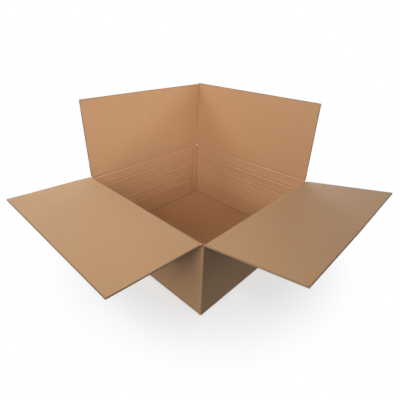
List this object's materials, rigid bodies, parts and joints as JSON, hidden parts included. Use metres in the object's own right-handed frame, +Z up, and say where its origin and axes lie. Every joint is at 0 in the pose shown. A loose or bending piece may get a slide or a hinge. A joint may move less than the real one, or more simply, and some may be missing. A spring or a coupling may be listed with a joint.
{
  "type": "open cardboard box",
  "caption": "Square low corrugated carton with hinged top flaps open, pressed depth creases round its walls and a taped bottom.",
  "frame": {"origin": "centre of the base underside", "axes": "+Z up, +X and +Y square to the wall panels; the glued corner is at -X, +Y"},
  "size_m": [0.9175, 0.9104, 0.5823],
  "materials": {
    "kraft_board": "matte",
    "packing_tape": "satin"
  },
  "bodies": {
    "carton": {"carton_body": "kraft_board", "bottom_tape": "packing_tape"},
    "front_left_flap": {"front_left_flap": "kraft_board"},
    "front_right_flap": {"front_right_flap": "kraft_board"},
    "back_left_flap": {"back_left_flap": "kraft_board"},
    "back_right_flap": {"back_right_flap": "kraft_board"}
  },
  "joints": [
    {"name": "front_left_hinge", "type": "hinge", "parent": "carton", "child": "front_left_flap", "pos_m": [0, -0.304, 0.2793], "axis": [1, 0, 0], "range_deg": [-176, 64]},
    {"name": "front_right_hinge", "type": "hinge", "parent": "carton", "child": "front_right_flap", "pos_m": [0.304, 0, 0.275], "axis": [0, 1, 0], "range_deg": [-170, 70]},
    {"name": "back_left_hinge", "type": "hinge", "parent": "carton", "child": "back_left_flap", "pos_m": [-0.304, 0, 0.275], "axis": [0, -1, 0], "range_deg": [-92.1, 147.9]},
    {"name": "back_right_hinge", "type": "hinge", "parent": "carton", "child": "back_right_flap", "pos_m": [0, 0.304, 0.2793], "axis": [-1, 0, 0], "range_deg": [-90, 150]}
  ]
}
